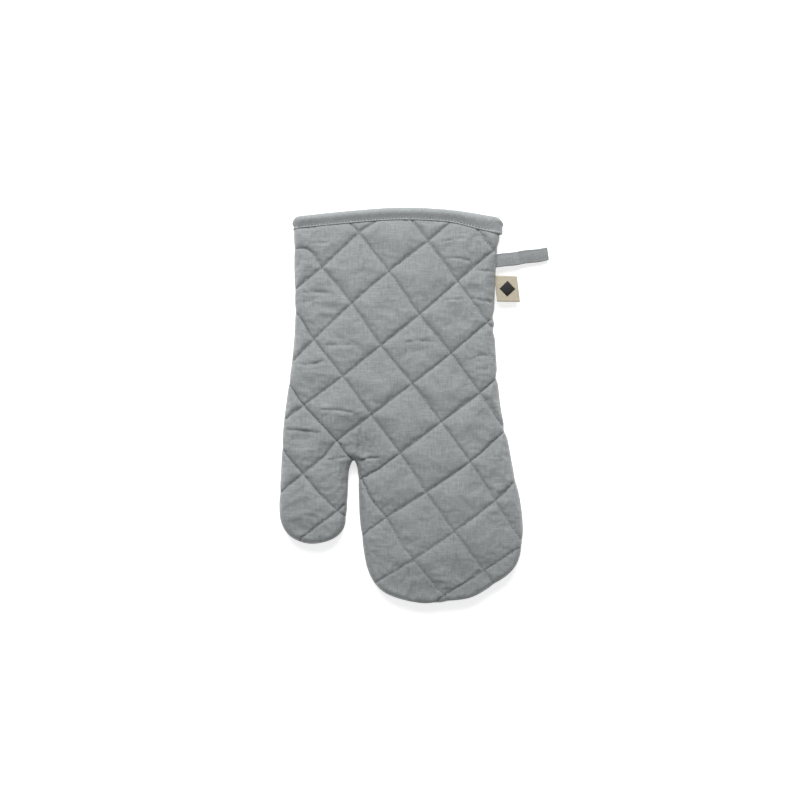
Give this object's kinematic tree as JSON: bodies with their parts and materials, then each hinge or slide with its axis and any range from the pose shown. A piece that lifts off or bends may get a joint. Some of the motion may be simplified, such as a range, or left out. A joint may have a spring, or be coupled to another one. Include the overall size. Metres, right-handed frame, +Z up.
{
  "type": "oven mitt",
  "caption": "Quilted, padded oven mitt lying flat, with a bound mouth, a thumb and a finger pocket that fold towards the palm, a side hanging loop and a blank label tab.",
  "frame": {"origin": "middle of the underside of the whole object's bounding box", "axes": "+Y from the fingertips to the mouth, +Z up out of the palm panel, +X from the thumb's side to the loop's side; the mitt lies flat on its back panel"},
  "size_m": [0.2176, 0.3192, 0.026],
  "materials": {
    "outer_cloth": "matt woven chambray",
    "wadding": "matt fibre wadding",
    "lining": "matt woven cotton",
    "quilting_thread": "twisted cotton thread",
    "binding_tape": "matt woven tape",
    "label_cotton": "woven cotton tape"
  },
  "bodies": {
    "hand": {"palm_outer_cloth": "outer_cloth", "palm_wadding": "wadding", "palm_lining": "lining", "palm_quilting_thread": "quilting_thread", "back_outer_cloth": "outer_cloth", "back_wadding": "wadding", "back_lining": "lining", "back_quilting_thread": "quilting_thread", "cuff_binding": "binding_tape", "left_seam_allowance": "lining", "crotch_seam_allowance": "lining", "right_seam_allowance": "lining"},
    "thumb": {"thumb_palm_outer_cloth": "outer_cloth", "thumb_palm_wadding": "wadding", "thumb_palm_lining": "lining", "thumb_palm_quilting_thread": "quilting_thread", "thumb_back_outer_cloth": "outer_cloth", "thumb_back_wadding": "wadding", "thumb_back_lining": "lining", "thumb_back_quilting_thread": "quilting_thread", "thumb_seam_allowance": "lining"},
    "finger": {"finger_palm_outer_cloth": "outer_cloth", "finger_palm_wadding": "wadding", "finger_palm_lining": "lining", "finger_palm_quilting_thread": "quilting_thread", "finger_back_outer_cloth": "outer_cloth", "finger_back_wadding": "wadding", "finger_back_lining": "lining", "finger_back_quilting_thread": "quilting_thread", "finger_seam_allowance": "lining"},
    "loop": {"hanging_loop": "binding_tape"},
    "label": {"label_tab": "label_cotton"}
  },
  "joints": [
    {"name": "thumb_fold", "type": "hinge", "parent": "hand", "child": "thumb", "pos_m": [-0.06164, -0.05652, 0.0263], "axis": [-0.7266, 0.6871, 0], "range_deg": [0, 60], "stiffness_Nm_per_rad": 0.008},
    {"name": "finger_fold", "type": "hinge", "parent": "hand", "child": "finger", "pos_m": [-0.04614, -0.06724, 0.0263], "axis": [-0.9914, -0.1305, 0], "range_deg": [0, 60], "stiffness_Nm_per_rad": 0.03},
    {"name": "loop_swing", "type": "hinge", "parent": "hand", "child": "loop", "pos_m": [0.06843, 0.11706, 0.0095], "axis": [-0.05, -0.9987, 0], "range_deg": [-60, 90]},
    {"name": "label_flap", "type": "hinge", "parent": "hand", "child": "label", "pos_m": [0.06733, 0.09406, 0.0095], "axis": [-0.05, -0.9987, 0], "range_deg": [-60, 90]}
  ]
}
